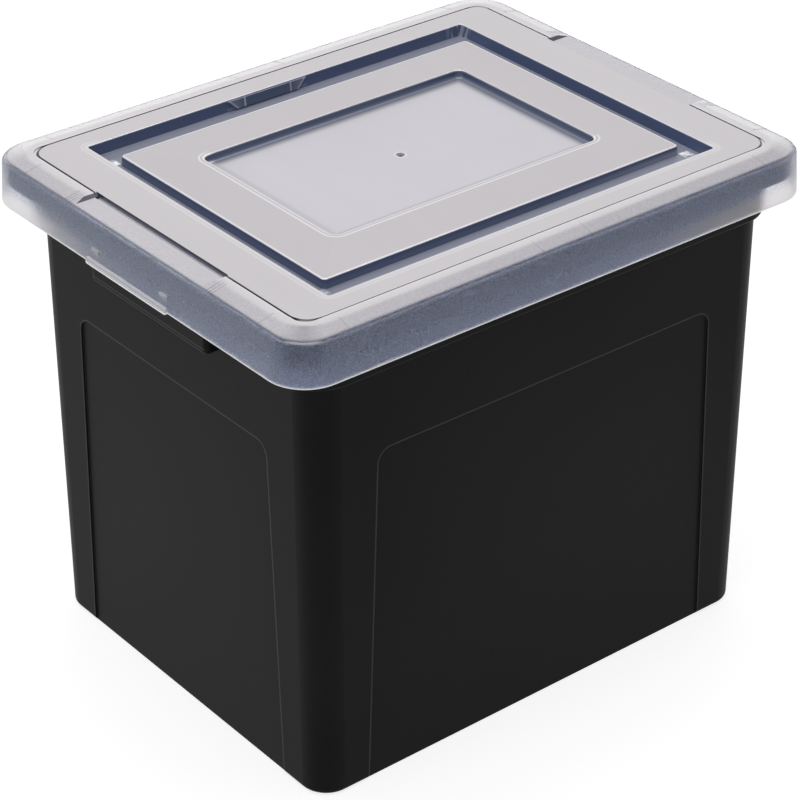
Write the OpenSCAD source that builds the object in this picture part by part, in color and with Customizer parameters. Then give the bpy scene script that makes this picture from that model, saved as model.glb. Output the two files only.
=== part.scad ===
// A portable file box for hanging letter folders: an open moulded tub with a turned-down rim, two
// hollow hand grips, sunk side panels and inner rails, closed by a thin translucent lid whose
// stepped skirt drops over the rim and carries a flexing latch flap on each short side.
// Base bottom centre is the origin, Z is up and X runs along the long side.  All sizes in mm.

/* [Tub] */

// Outside length of the tub at its base, along X.
tub_l = 324.2; // [300:0.2:350]
// Outside width of the tub at its base, along Y.
tub_w = 260.7; // [230:0.1:300]
// Height of the tub from its base to the top of its rim.
tub_h = 302; // [280:1:330]
// How far each wall leans outward between the base and the rim.
lean = 1.5; // [0.5:0.1:3]
// Thickness of the moulded walls.
wall_t = 2.4; // [1.8:0.1:3]
// Thickness of the floor.
floor_t = 2.8; // [2:0.1:5]
// Radius of the tub's upright corners at the base.
corner_r = 17; // [14:0.5:22]
// Radius of the edge where the walls meet the base.
base_r = 3; // [1.5:0.5:5]
// Radius of the hollow where the walls meet the floor inside.
floor_r = 4; // [2:0.5:8]

/* [Shoulder band] */

// Height of the band that stands out round the top of the tub, measured down from the rim.
band_h = 36; // [30:1:42]
// How far the band stands out from the wall.
band_out = 4.1; // [3:0.1:6]
// Radius of the band's lower edge.
band_r = 2; // [1:0.1:2.8]

/* [Rim flange] */

// How far the flange stands out past the leaning wall on the short sides.
rim_out_l = 16.6; // [15:0.1:18]
// How far the flange stands out past the leaning wall on the long sides.
rim_out_w = 10.35; // [9:0.05:12]
// Outside corner radius of the flange.
rim_r = 19.5; // [16:0.5:24]
// Depth of the flange's turned-down edge.
rim_drop = 12.5; // [8:0.5:14]
// Thickness of the flange and of its turned-down edge.
rim_t = 2.6; // [2:0.1:3]
// Radius of the flange's top edges.
rim_edge = 0.9; // [0.4:0.1:1.2]

/* [Hand grips] */

// Length of a grip along its short side.
grip_l = 109; // [90:1:120]
// Distance of a grip's lower edge below the rim.
grip_h = 43.3; // [40:0.1:50]
// How far the grip's outer face stands out from the wall.
grip_out = 11.9; // [11:0.1:13]
// Thickness of the grip's walls.
grip_t = 2.4; // [1.8:0.1:3]
// Radius of the grip's lower edge.
grip_r = 2; // [1:0.1:2.2]
// Radius of the grip's upright corners.
grip_corner = 3; // [2.5:0.1:5]

/* [Sunk panels] */

// Depth of the sunk panel in the middle of each wall.
panel_d = 1.2; // [0.6:0.1:1.6]
// Height of the panels' top edge above the base.
panel_h = 215.8; // [180:1:240]
// Radius of a panel's top corners.
panel_r = 8.5; // [4:0.5:14]
// Distance from a panel's foot to the tub's side, at the base.
panel_foot = 34.6; // [28:0.1:60]
// Distance from a panel's top corner to the tub's side.
panel_top = 41.7; // [28:0.1:70]

/* [Folder rails] */

// Distance between the two rails' ridges, which the folder hooks hang on.
rail_gap = 305; // [300:1:308]
// Length of each rail along Y.
rail_l = 214; // [150:1:222]
// Height of the rails' ridges above the base.
rail_h = 262; // [250:1:275]
// Thickness of a rail's ridge.
rail_t = 2.2; // [1.6:0.1:3]
// Depth of a rail's ridge above its ledge.
rail_d = 9; // [6:1:14]
// Number of webs under each rail.
rail_webs = 5; // [3:1:9]

/* [Lid skirt and rim] */

// Clearance between the flange and the inside of the lid's skirt.
lid_gap = 0.9; // [0.4:0.1:1.4]
// Thickness of the lid's skin.
skin = 2; // [1.6:0.1:2.4]
// Depth of the lid's skirt below the tub's rim.
skirt_h = 23.6; // [18:0.1:28]
// How far the skirt leans outward over its depth.
skirt_lean = 1.55; // [0.5:0.05:2]
// Width of the land under the lid that rests on the flange.
land_w = 3; // [2:0.1:5]
// Height of the crease at the lid's outer edge above the tub's rim.
crease_h = 2; // [1.6:0.1:2.6]
// Radius of the crease.
crease_r = 2.6; // [1:0.1:3]
// Height of the rim's level strip above the tub's rim.
strip_h = 4.9; // [4.6:0.1:6]
// Width of the level strip outside the thin groove.
strip_w = 5; // [3:0.5:7]
// Radius where the level strip turns into the slope.
strip_bend = 18; // [4:1:24]
// Inner corner radius of the level strip.
strip_r = 8; // [4:0.5:11]

/* [Lid deck] */

// Distance from the flange's outer edge to the thin groove on the short sides.
deck_in_l = 14.5; // [12:0.1:17]
// Distance from the flange's outer edge to the thin groove on the long sides.
deck_in_w = 14.75; // [13:0.05:18]
// Corner radius of the deck inside the thin groove.
deck_r = 12; // [9:0.5:16]
// Width of the thin groove.
line_w = 0.8; // [0.6:0.1:1.2]
// Depth of the thin groove.
line_d = 0.8; // [0.5:0.1:1.1]
// Drop from the level strip to the deck inside it.
deck_drop = 0.15; // [0.1:0.05:0.6]

/* [Lid trough] */

// Width of the deck between the thin groove and the trough on the short sides.
trough_in_l = 28.5; // [24:0.1:34]
// Width of the deck between the thin groove and the trough on the long sides.
trough_in_w = 15.95; // [12:0.05:20]
// Corner radius of the trough's outer edge.
trough_r = 1.8; // [1.6:0.1:6]
// Depth of the trough below the level strip.
trough_d = 7.5; // [6.4:0.1:9]
// How far the trough's and the recess's walls lean over their depth.
wall_lean = 1; // [0.5:0.1:1.2]
// Radius of the lid's moulded edges.
edge_r = 0.8; // [0.3:0.1:1.2]
// Radius of the hollow at the foot of the trough's walls.
trough_fillet = 0.6; // [0.2:0.1:0.7]

/* [Lid plateau and recess] */

// Width of the trough at its top on the short sides.
plateau_in_l = 10.5; // [8:0.1:16]
// Width of the trough at its top on the long sides.
plateau_in_w = 17.55; // [13:0.05:22]
// Corner radius of the plateau.
plateau_r = 2.5; // [2.5:0.5:10]
// Depth of the plateau's outer edge below the level strip.
plateau_d = 2.15; // [2:0.05:4]
// How far the plateau's border rises from its outer edge to the recess.
crown = 1.75; // [0.5:0.05:1.9]
// Width of the level part of the border at its outer edge and round the recess.
crown_in = 2.2; // [2:0.1:4]
// Width of the plateau's border on the short sides.
recess_in_l = 32.2; // [20:0.1:40]
// Width of the plateau's border on the long sides.
recess_in_w = 32.95; // [20:0.05:45]
// Corner radius of the recess.
recess_r = 5; // [3.5:0.5:12]
// Depth of the recess below the level strip.
recess_d = 4.9; // [4.6:0.1:8]
// Radius of the hollow at the foot of the recess's walls.
recess_fillet = 2.5; // [1:0.1:3]
// Diameter of the round dimple left by the moulding gate in the middle of the lid.
gate_d = 5; // [3:0.5:8]
// Depth of the gate's dimple.
gate_depth = 0.6; // [0.3:0.1:0.9]
// Diameter of the stub in the gate's dimple.
gate_stub = 1.8; // [1:0.1:2.4]

/* [Trough pads and rim ribs] */

// Length of the pad on each long wall of the trough, along its top.
pad_l = 57; // [40:1:80]
// How far the pad's middle lies from the lid's middle.
pad_off = 11.5; // [0:0.5:20]
// How far the pad stands out from the trough's wall.
pad_t = 1; // [0.5:0.1:1.4]
// Clearance between the pad's foot and the trough's floor.
pad_gap = 1; // [0.8:0.1:2]
// How far the pad's ends slope inward from its top to its foot.
pad_slope = 6; // [2:0.5:9]
// Distance between the pad's two upright ribs.
pad_ribs = 33; // [20:1:40]
// Width of the thin ribs on the pads and across the rim's slope.
rib_w = 0.7; // [0.5:0.1:1]
// Height of the thin ribs.
rib_t = 0.3; // [0.2:0.1:0.5]
// Distance between the two ribs in the middle of each long side's slope.
mark_gap = 34; // [20:1:60]
// Distance from the lid's outer corner to the ribs at the ends of the slope.
mark_in = 36; // [30:0.5:45]
// Number of thin ribs on the slope beyond each end of a latch flap.
end_ribs = 3; // [1:1:4]
// Distance between these ribs.
end_pitch = 2.2; // [1.6:0.1:3]

/* [Latches] */

// Length of a latch flap at its foot, where it meets the deck.
flap_l = 118; // [100:1:130]
// How far each end of the flap's cut slopes outward.
flap_ramp = 3; // [1:0.5:4]
// Height of the flap's face above the tub's rim.
flap_h = 2.9; // [2.4:0.1:3.4]
// Width of the bending groove at the foot of the flap.
hinge_w = 2.9; // [2:0.1:4]
// Depth of the bending groove.
hinge_d = 1.2; // [0.5:0.1:1.3]
// How far the flap's bending groove reaches inward past the thin groove.
hinge_in = 1.2; // [0.5:0.1:2]
// Length of the pull tab under a flap.
tab_l = 76; // [60:1:90]
// How far the pull tab's middle lies from the flap's middle.
tab_off = -4.5; // [-8:0.5:8]
// Height of the pull tab.
tab_h = 4.2; // [3.6:0.1:8]
// How far the pull tab stands out from the skirt's foot.
tab_out = 1.5; // [1:0.1:4]
// How far the pull tab reaches below the skirt's foot.
tab_below = 0.6; // [0.4:0.1:3]
// Radius of the pull tab's ends.
tab_end = 1.6; // [1.4:0.1:1.7]
// Radius of the pull tab's outer edge.
tab_r = 0.6; // [0.4:0.1:0.9]
// Height of the bead along the pull tab's lower edge.
bead_h = 1.8; // [1.2:0.1:2.4]
// How far the bead stands out from the pull tab.
bead_out = 0.5; // [0.3:0.1:0.8]
// Distance between the two catch nubs of a flap.
nub_gap = 64; // [50:1:70]
// Length of a catch nub.
nub_l = 9; // [6:1:14]
// Radius of a catch nub.
nub_r = 1.8; // [1.5:0.1:2]
// Gap between a nub and the flange's turned-down edge above it.
nub_under = 0.3; // [0.2:0.1:1]

/* [Hidden] */

$fn = 96;
eps = 0.01;
bite = 0.003;

// Centres of the tub's corners, and its outer corner radius where the walls have leaned out.
tub_cx = tub_l / 2 - corner_r;
tub_cy = tub_w / 2 - corner_r;
top_r = corner_r + lean;
band_z = tub_h - band_h;
lean_a = atan(lean / (tub_h - base_r));

// The flange's outside size, and the centres of its corners, which the lid shares.
rim_l = tub_l + 2 * (lean + rim_out_l);
rim_w = tub_w + 2 * (lean + rim_out_w);
rim_cx = rim_l / 2 - rim_r;
rim_cy = rim_w / 2 - rim_r;

// Lid radii, measured from the rim's corner centres.
skirt_in = rim_r + lid_gap;
skirt_out = skirt_in + skin;
crease_out = skirt_out - skirt_lean * crease_h / skirt_h;
foot_out = skirt_out + skirt_lean;

// The lid's steps from its rim inward.
deck_l = rim_l - 2 * deck_in_l;
deck_w = rim_w - 2 * deck_in_w;
trough_l = deck_l - 2 * trough_in_l;
trough_w = deck_w - 2 * trough_in_w;
plateau_l = trough_l - 2 * plateau_in_l;
plateau_w = trough_w - 2 * plateau_in_w;
recess_l = plateau_l - 2 * recess_in_l;
recess_w = plateau_w - 2 * recess_in_w;
strip_out = deck_l / 2 + line_w / 2 + strip_w - rim_cx;

// The lid's heights.
strip_z = tub_h + strip_h;
deck_z = strip_z - deck_drop;
trough_z = strip_z - trough_d;
plateau_z = strip_z - plateau_d;
crown_z = plateau_z + crown;
recess_z = strip_z - recess_d;
flap_z = tub_h + flap_h;
foot_z = tub_h - skirt_h;

// Where the flaps' bending grooves start, measured from the lid's middle.
hinge_x = deck_l / 2 - line_w / 2 - hinge_in;

// Outside half length and half width of the tub's wall at height z.
function lean_at(z) = lean * max(0, z - base_r) / (tub_h - base_r);
function wall_x(z) = tub_l / 2 + lean_at(z);
function wall_y(z) = tub_w / 2 + lean_at(z);

function unit(v) = v / norm(v);

// The small three-sided piece between a corner p, whose edges run to a and b, and the round of
// radius r that fits it.  It is taken off an outer corner or added in an inner one.  The round
// crosses the edges by the small amount bite, so that it always meets them cleanly.
module corner_piece(p, a, b, r) {
    u = unit(a - p);
    v = unit(b - p);
    mid = unit(u + v);
    half = acos(u * v) / 2;
    centre = p + mid * (r - bite) / sin(half);
    run = (r - bite) / tan(half);
    difference() {
        polygon([p + u * run, p - mid * 0.05, p + v * run, centre]);
        translate(centre)
            circle(r);
    }
}

// A section with rounded corners.  A radius above zero takes off an outer corner, and one below
// zero fills an inner corner.
module section(points, radii) {
    n = len(points);
    difference() {
        union() {
            polygon(points);
            for (i = [0:n - 1])
                if (radii[i] < 0)
                    corner_piece(points[i], points[(i + n - 1) % n], points[(i + 1) % n], -radii[i]);
        }
        for (i = [0:n - 1])
            if (radii[i] > 0)
                corner_piece(points[i], points[(i + n - 1) % n], points[(i + 1) % n], radii[i]);
    }
}

// Sweeps a section round a rounded rectangle.  The section's x is the distance outward from the
// corner centres, which stand at +-cx and +-cy, and its y is the height.
module around(cx, cy) {
    for (sx = [-1, 1], sy = [-1, 1])
        translate([sx * cx, sy * cy, 0])
            rotate([0, 0, sy > 0 ? (sx > 0 ? 0 : 90) : (sx > 0 ? 270 : 180)])
                rotate_extrude(angle = 90)
                    children();
    for (s = [0, 1]) {
        mirror([s, 0, 0])
            translate([cx, cy, 0])
                rotate([90, 0, 0])
                    linear_extrude(2 * cy)
                        children();
        mirror([0, s, 0])
            translate([-cx, cy, 0])
                rotate([90, 0, 90])
                    linear_extrude(2 * cx)
                        children();
    }
}

// A rounded block from height z0 to z1 whose sides lean out by grow.  Its corner radius is r at
// z0, and its lower and upper edges are rounded by low and high.
module block(l, w, r, z0, z1, grow = 0, low = 0, high = 0) {
    cx = l / 2 - r;
    cy = w / 2 - r;
    around(cx, cy)
        section([[0, z0], [r, z0], [r + grow, z1], [0, z1]], [0, low, high, 0]);
    translate([-cx, -cy, z0])
        cube([2 * cx, 2 * cy, z1 - z0]);
}

// What rounds the upper edge of a sunk block of size l by w at height z, whose corner radius there
// is r and whose walls lean by grow over depth.
module lip(l, w, r, z, grow, depth, round) {
    wall = [r - grow, z - depth];
    around(l / 2 - r, w / 2 - r)
        corner_piece([r, z], wall, [r + 2 * depth, z], round);
}

// The flat outline of a rounded rectangle.
module outline(l, w, r) {
    square([l - 2 * r, w], center = true);
    square([l, w - 2 * r], center = true);
    for (sx = [-1, 1], sy = [-1, 1])
        translate([sx * (l / 2 - r), sy * (w / 2 - r)])
            circle(r);
}

// Section of the tub's wall from the corner centre outward, with its base edge and floor hollow.
module wall_section() {
    section([
        [0, 0], [corner_r, 0], [corner_r, base_r], [top_r, tub_h],
        [top_r - wall_t, tub_h], [corner_r - wall_t, floor_t], [0, floor_t]
    ], [0, base_r, 0, 0, rim_edge, -floor_r, 0]);
}

// Section of the band that stands out round the top of the tub.
module band_section() {
    inner = top_r - wall_t / 2;
    outer = top_r + band_out;
    top = tub_h - rim_t / 2;
    section([[inner, band_z], [outer, band_z], [outer, top], [inner, top]], [0, band_r, 0, 0]);
}

// Section of the flange's turned-down edge.
module drop_section() {
    low = tub_h - rim_drop;
    section([[rim_r - rim_t, low], [rim_r, low], [rim_r, tub_h], [rim_r - rim_t, tub_h]],
        [rim_edge / 2, rim_edge / 2, rim_edge, 0]);
}

// The flange: a level plate from the wall out to the turned-down edge.
module flange() {
    translate([0, 0, tub_h - rim_t])
        linear_extrude(rim_t)
            difference() {
                outline(rim_l - rim_t, rim_w - rim_t, rim_r - rim_t / 2);
                outline(2 * (tub_cx + top_r) - wall_t, 2 * (tub_cy + top_r) - wall_t,
                    top_r - wall_t / 2);
            }
    around(rim_cx, rim_cy)
        drop_section();
}

// Places its children on both short sides.
module short_sides() {
    for (s = [0, 1])
        rotate([0, 0, 180 * s])
            children();
}

// Places its children, made for a short side, on both long sides.
module long_sides() {
    for (s = [0, 1])
        rotate([0, 0, 90 + 180 * s])
            children();
}

// One panel's outline for a wall of width w: narrower at the top, with round top corners.
module panel_outline(w, grow = 0) {
    foot = w / 2 - panel_foot + grow;
    half = w / 2 - panel_top + grow;
    high = panel_h + grow;
    section([[-foot, -1], [foot, -1], [half, high], [-half, high]],
        [0, 0, panel_r + grow, panel_r + grow]);
}

// A slab in a wall's own plane, from depth d0 to depth d1 inward of the wall's outer face.
module on_wall(reach, d0, d1) {
    translate([reach, 0, base_r])
        rotate([0, lean_a, 0])
            translate([-d1, 0, -base_r])
                rotate([90, 0, 90])
                    linear_extrude(d1 - d0)
                        children();
}

// The panels' sunk faces, cut from outside.
module panel_cuts() {
    short_sides()
        on_wall(tub_l / 2, -1, panel_d)
            panel_outline(tub_w);
    long_sides()
        on_wall(tub_w / 2, -1, panel_d)
            panel_outline(tub_l);
}

// The panels' backs, which stand in from the wall to keep its thickness.
module panel_backs() {
    intersection() {
        union() {
            short_sides()
                on_wall(tub_l / 2, panel_d, wall_t + panel_d)
                    panel_outline(tub_w, wall_t / 2);
            long_sides()
                on_wall(tub_w / 2, panel_d, wall_t + panel_d)
                    panel_outline(tub_l, wall_t / 2);
        }
        translate([-tub_l / 2, -tub_w / 2, floor_t / 2])
            cube([tub_l, tub_w, tub_h]);
    }
}

// A hand grip's form, or with less its hollow: a rounded block half sunk in the wall.
module grip_form(less) {
    reach = grip_out - less;
    x = wall_x(tub_h);
    low = tub_h - grip_h - less;
    high = tub_h - rim_t / 2 - less / 2;
    translate([x, 0, 0])
        block(2 * reach, grip_l - 2 * less, grip_corner - less, low, high, 0,
            less > 0 ? 0 : grip_r, 0);
}

// The grips on both short sides, kept out of the tub's inside.
module grips() {
    short_sides()
        intersection() {
            grip_form(0);
            translate([wall_x(tub_h) - wall_t / 2, -grip_l, 0])
                cube([2 * grip_out, 2 * grip_l, 2 * tub_h]);
        }
}

// The hollow of both grips, open underneath for the fingers.
module grip_hollows() {
    short_sides()
        intersection() {
            grip_form(grip_t);
            translate([wall_x(tub_h), -grip_l, 0])
                cube([2 * grip_out, 2 * grip_l, tub_h - rim_t]);
        }
}

// A rail along the inside of each short wall for the folders' hooks: a ledge with an upright ridge.
module rails() {
    face = rail_gap / 2;
    ledge = rail_h - rail_d;
    reach = wall_x(ledge) - wall_t / 2 - face;
    short_sides() {
        translate([face, 0, 0])
            rotate([90, 0, 0])
                linear_extrude(rail_l, center = true)
                    section([
                        [0, ledge - rail_t], [reach, ledge - rail_t], [reach, ledge],
                        [rail_t, ledge], [rail_t, rail_h], [0, rail_h]
                    ], [0, 0, 0, -rail_t / 2, rail_t / 3, rail_t / 3]);
        for (i = [0:rail_webs - 1])
            translate([face, (rail_l - rail_t) * (i / (rail_webs - 1) - 0.5), ledge - rail_t / 2])
                rotate([90, 0, 0])
                    linear_extrude(rail_t, center = true)
                        polygon([[0, 0], [reach, 0], [reach, -2 * rail_d], [0, -rail_t]]);
    }
}

// The tub, one moulding.
module tub() {
    color([0.035, 0.035, 0.04])
        difference() {
            union() {
                around(tub_cx, tub_cy)
                    wall_section();
                translate([-tub_cx, -tub_cy, 0])
                    cube([2 * tub_cx, 2 * tub_cy, floor_t]);
                around(tub_cx, tub_cy)
                    band_section();
                flange();
                grips();
                panel_backs();
                rails();
            }
            grip_hollows();
            panel_cuts();
        }
}

// Section of the lid's rim: the skirt, the crease, the slope, the level strip and the land.
module lid_section() {
    under = strip_z - skin;
    section([
        [0, under], [0, strip_z], [strip_out, strip_z], [crease_out, tub_h + crease_h],
        [foot_out, foot_z], [foot_out - skin, foot_z], [skirt_in, tub_h],
        [skirt_in - land_w, tub_h], [strip_out, under]
    ], [0, 0, strip_bend, crease_r, skin / 4, skin / 4, 0, 0, 0]);
}

// The deck inside the rim, over the tub's mouth, with the trough's outer form below it.
module deck() {
    translate([-rim_cx, -rim_cy, strip_z - skin])
        cube([2 * rim_cx, 2 * rim_cy, skin]);
    block(trough_l - 2 * wall_lean + 2 * skin, trough_w - 2 * wall_lean + 2 * skin,
        trough_r - wall_lean + skin, trough_z - skin, strip_z - skin / 2, wall_lean);
}

// The step down inside the strip, and the thin groove between them.
module deck_cuts() {
    translate([0, 0, deck_z])
        linear_extrude(deck_drop + 1)
            outline(deck_l, deck_w, deck_r);
    translate([0, 0, strip_z - line_d])
        linear_extrude(line_d + 1)
            difference() {
                outline(deck_l + line_w, deck_w + line_w, strip_r);
                outline(deck_l - line_w, deck_w - line_w, deck_r);
            }
}

// The trough's space, with its foot hollowed and its upper edge rounded.
module trough_cut() {
    depth = deck_z - trough_z;
    block(trough_l - 2 * wall_lean, trough_w - 2 * wall_lean, trough_r - wall_lean,
        trough_z, deck_z, wall_lean, trough_fillet, 0);
    translate([0, 0, deck_z - eps])
        linear_extrude(1)
            outline(trough_l, trough_w, trough_r);
    lip(trough_l, trough_w, trough_r, deck_z, wall_lean, depth, edge_r);
}

// A bar along Y whose top rises by crown from height z at x = +-half to full height at x = +-top.
module crown_bar(half, top, w, z) {
    over = (half - top) / 40;
    rotate([90, 0, 0])
        linear_extrude(w, center = true)
            polygon([
                [-half - over, z - skin / 2], [-half - over, z - crown / 40], [-top, z + crown],
                [top, z + crown], [half + over, z - crown / 40], [half + over, z - skin / 2]
            ]);
}

// The plateau's raised middle: level round the recess, and sloping down to each of its four sides.
module crown_form(z, less) {
    half_l = plateau_l / 2 - crown_in - less;
    half_w = plateau_w / 2 - crown_in - less;
    intersection() {
        crown_bar(half_l, recess_l / 2 + crown_in, plateau_w, z);
        rotate([0, 0, 90])
            crown_bar(half_w, recess_w / 2 + crown_in, plateau_l, z);
    }
}

// The plateau's outer form.
module plateau() {
    block(plateau_l + 2 * wall_lean, plateau_w + 2 * wall_lean, plateau_r + wall_lean,
        trough_z - skin, plateau_z, -wall_lean, 0, edge_r);
    crown_form(plateau_z, 0);
}

// The hollow under the plateau.
module plateau_under() {
    less = 2 * (skin - wall_lean);
    block(plateau_l - less, plateau_w - less, plateau_r + wall_lean - skin,
        trough_z - skin - 1, plateau_z - skin, -wall_lean);
    crown_form(plateau_z - skin, skin / 2);
}

// The outer form of the sunk panel under the plateau.
module recess_shell(top) {
    block(recess_l - 2 * wall_lean + 2 * skin, recess_w - 2 * wall_lean + 2 * skin,
        recess_r - wall_lean + skin, recess_z - skin, top, wall_lean);
}

// The sunk panel's space, with its foot hollowed and its upper edge rounded.
module recess_cut() {
    depth = crown_z - recess_z;
    block(recess_l - 2 * wall_lean, recess_w - 2 * wall_lean, recess_r - wall_lean,
        recess_z, crown_z, wall_lean, recess_fillet, 0);
    translate([0, 0, crown_z - eps])
        linear_extrude(1)
            outline(recess_l, recess_w, recess_r);
    lip(recess_l, recess_w, recess_r, crown_z, wall_lean, depth, 1.5 * edge_r);
}

// The gate's dimple and the stub in it.
module gate_cut() {
    translate([0, 0, recess_z])
        difference() {
            translate([0, 0, -gate_depth])
                cylinder(d1 = gate_d - gate_depth, d2 = gate_d + gate_depth, h = 2 * gate_depth);
            translate([0, 0, -2 * gate_depth])
                cylinder(d = gate_stub, h = 2 * gate_depth);
        }
}

// A pad on each long wall of the trough, with a slope at each end and two upright ribs.
module pads() {
    top = deck_z - edge_r;
    low = trough_z + pad_gap;
    half = pad_l / 2;
    back = trough_w / 2 + wall_lean;
    face = trough_w / 2 - wall_lean * edge_r / trough_d - pad_t;
    tilt = atan(wall_lean / (deck_z - trough_z));
    long_sides()
        translate([face, pad_off, top])
            rotate([0, tilt, 0])
                translate([0, 0, -top]) {
                    rotate([90, 0, 90])
                        linear_extrude(back - face)
                            section([[-half, top], [half, top], [half - pad_slope, low],
                                [pad_slope - half, low]], [0, 0, edge_r, edge_r]);
                    for (s = [-1, 1])
                        translate([-rib_t, s * pad_ribs / 2 - rib_w / 2, low + edge_r])
                            cube([pad_t, rib_w, top - low - edge_r]);
                }
}

// Thin ribs across the rim's slope, two in the middle of each long side and two near each corner.
module slope_rib() {
    foot = crease_out - crease_r;
    low = tub_h + crease_h + crease_r * (strip_h - crease_h) / (crease_out - strip_out);
    rotate([90, 0, 0])
        linear_extrude(rib_w, center = true)
            polygon([
                [strip_out - strip_w / 2, strip_z - skin / 2], [strip_out - strip_w / 2, strip_z],
                [strip_out, strip_z + rib_t / 2], [foot, low + rib_t], [foot, low - skin / 2]
            ]);
}

module slope_ribs() {
    end_l = rim_cx + crease_out - mark_in;
    end_w = rim_cy + crease_out - mark_in;
    long_sides()
        for (at = [-end_l, -mark_gap / 2, mark_gap / 2, end_l])
            translate([rim_cy, at, 0])
                slope_rib();
    flap_end = flap_l / 2 + flap_ramp;
    short_sides()
        for (s = [-1, 1]) {
            translate([rim_cx, s * end_w, 0])
                slope_rib();
            for (i = [1:end_ribs])
                translate([rim_cx, s * (flap_end + i * end_pitch), 0])
                    slope_rib();
        }
}

// The walls round a latch flap: a section under the rim's slope, carried along the short side.
module flap_body() {
    half = flap_l / 2 + flap_ramp + skin;
    back = hinge_x - skin;
    front = rim_cx + crease_out - skin;
    short_sides()
        rotate([90, 0, 0])
            linear_extrude(2 * half, center = true)
                polygon([
                    [back, flap_z - skin], [front, flap_z - skin],
                    [front, tub_h + crease_h - skin / 4],
                    [rim_cx + strip_out, strip_z - skin / 2], [back, strip_z - skin / 2]
                ]);
}

// What is cut away above a latch flap, with an end that slopes outward each way, and its groove.
module flap_cuts() {
    half = flap_l / 2;
    top = half + flap_ramp;
    short_sides() {
        translate([hinge_x, 0, 0])
            rotate([90, 0, 90])
                linear_extrude(rim_l / 2)
                    polygon([
                        [-half, flap_z], [half, flap_z], [top, strip_z],
                        [top, strip_z + 1], [-top, strip_z + 1], [-top, strip_z]
                    ]);
        translate([hinge_x, -half, flap_z - hinge_d])
            cube([hinge_w, 2 * half, hinge_d + 1]);
    }
}

// The pull tabs, each a rounded bar along the skirt's foot.
module tabs() {
    short_sides()
        translate([rim_cx + foot_out - skin / 2, tab_off, foot_z - tab_below + tab_h / 2])
            rotate([90, 0, 90])
                block(tab_l, tab_h, tab_end, 0, skin / 2 + tab_out, 0, 0, tab_r);
}

// The bead along each pull tab, near its lower edge.
module tab_beads() {
    short_sides()
        translate([rim_cx + foot_out, tab_off, foot_z - tab_below + bead_h / 2 + tab_r])
            rotate([90, 0, 90])
                block(tab_l - 2 * tab_h, bead_h, 0.4 * bead_h, 0, tab_out + bead_out, 0, 0,
                    0.8 * bead_out);
}

// The two catch nubs of each latch flap, just under the turned-down edge.
module nubs() {
    drop = rim_drop + nub_under + nub_r;
    x = rim_cx + skirt_in + skin / 2 + skirt_lean * drop / skirt_h;
    short_sides()
        for (s = [-1, 1])
            translate([x, tab_off / 2 + s * nub_gap / 2, tub_h - drop])
                rotate([90, 0, 0]) {
                    cylinder(r = nub_r, h = nub_l - 2 * nub_r, center = true);
                    for (e = [-1, 1])
                        translate([0, 0, e * (nub_l / 2 - nub_r)])
                            sphere(nub_r);
                }
}

// The lid, one thin moulding.
module lid() {
    color([0.80, 0.80, 0.83, 0.45])
        difference() {
            union() {
                difference() {
                    union() {
                        around(rim_cx, rim_cy)
                            lid_section();
                        deck();
                        flap_body();
                        slope_ribs();
                    }
                    deck_cuts();
                    flap_cuts();
                    trough_cut();
                }
                plateau();
                recess_shell(crown_z - skin / 2);
                pads();
                tabs();
                tab_beads();
                nubs();
            }
            difference() {
                plateau_under();
                recess_shell(crown_z);
            }
            recess_cut();
            gate_cut();
        }
}

tub();
lid();
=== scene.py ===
"""Dresses a portable file box: a black moulded tub under a frosted, see-through lid.

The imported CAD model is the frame, and its two mouldings keep their shapes.  This scene gives them
their finishes, stands them on a pale floor under soft light and looks at them from the
photograph's place.  The finishes and their masks count in millimetres, and the studio in metres.
"""

import logging
from dataclasses import dataclass, field
from enum import Enum
from typing import Any

import bpy
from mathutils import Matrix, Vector


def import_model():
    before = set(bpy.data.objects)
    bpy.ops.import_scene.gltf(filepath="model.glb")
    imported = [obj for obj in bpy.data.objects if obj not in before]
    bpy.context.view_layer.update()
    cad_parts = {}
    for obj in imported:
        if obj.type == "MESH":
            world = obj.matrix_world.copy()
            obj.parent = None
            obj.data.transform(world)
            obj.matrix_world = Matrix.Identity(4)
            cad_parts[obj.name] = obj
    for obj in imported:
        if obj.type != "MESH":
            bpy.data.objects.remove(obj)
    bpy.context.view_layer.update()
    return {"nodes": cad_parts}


LOG = logging.getLogger("file_box")

Number = float | int
Colour = tuple[float, float, float]
Span = tuple[float, float]

# How many of the masks' millimetres make one of Blender's metres.
MM = 1000.0
# Seen from above, the unit arrow from the box's middle to the corner that faces the camera.
FRONT_CORNER: Span = (-0.628, -0.778)
# The part of a face's normal along an axis, from where the face starts to count as square on it.
SQUARE_ON: Span = (0.7, 0.9)


class Kind(Enum):
    """The kinds of shader node that the finishes use."""

    ADD_SHADER = "ShaderNodeAddShader"
    BACKGROUND = "ShaderNodeBackground"
    BEVEL = "ShaderNodeBevel"
    BSDF = "ShaderNodeBsdfPrincipled"
    BUMP = "ShaderNodeBump"
    COORD = "ShaderNodeTexCoord"
    DIFFUSE = "ShaderNodeBsdfDiffuse"
    EMISSION = "ShaderNodeEmission"
    GEOMETRY = "ShaderNodeNewGeometry"
    LIGHT_PATH = "ShaderNodeLightPath"
    MAP_RANGE = "ShaderNodeMapRange"
    MATH = "ShaderNodeMath"
    MIX_COLOUR = "ShaderNodeMix"
    MIX_SHADER = "ShaderNodeMixShader"
    NOISE = "ShaderNodeTexNoise"
    OUTPUT = "ShaderNodeOutputMaterial"
    SEPARATE = "ShaderNodeSeparateXYZ"
    VECTOR_MATH = "ShaderNodeVectorMath"
    VORONOI = "ShaderNodeTexVoronoi"
    WORLD_OUTPUT = "ShaderNodeOutputWorld"


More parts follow.
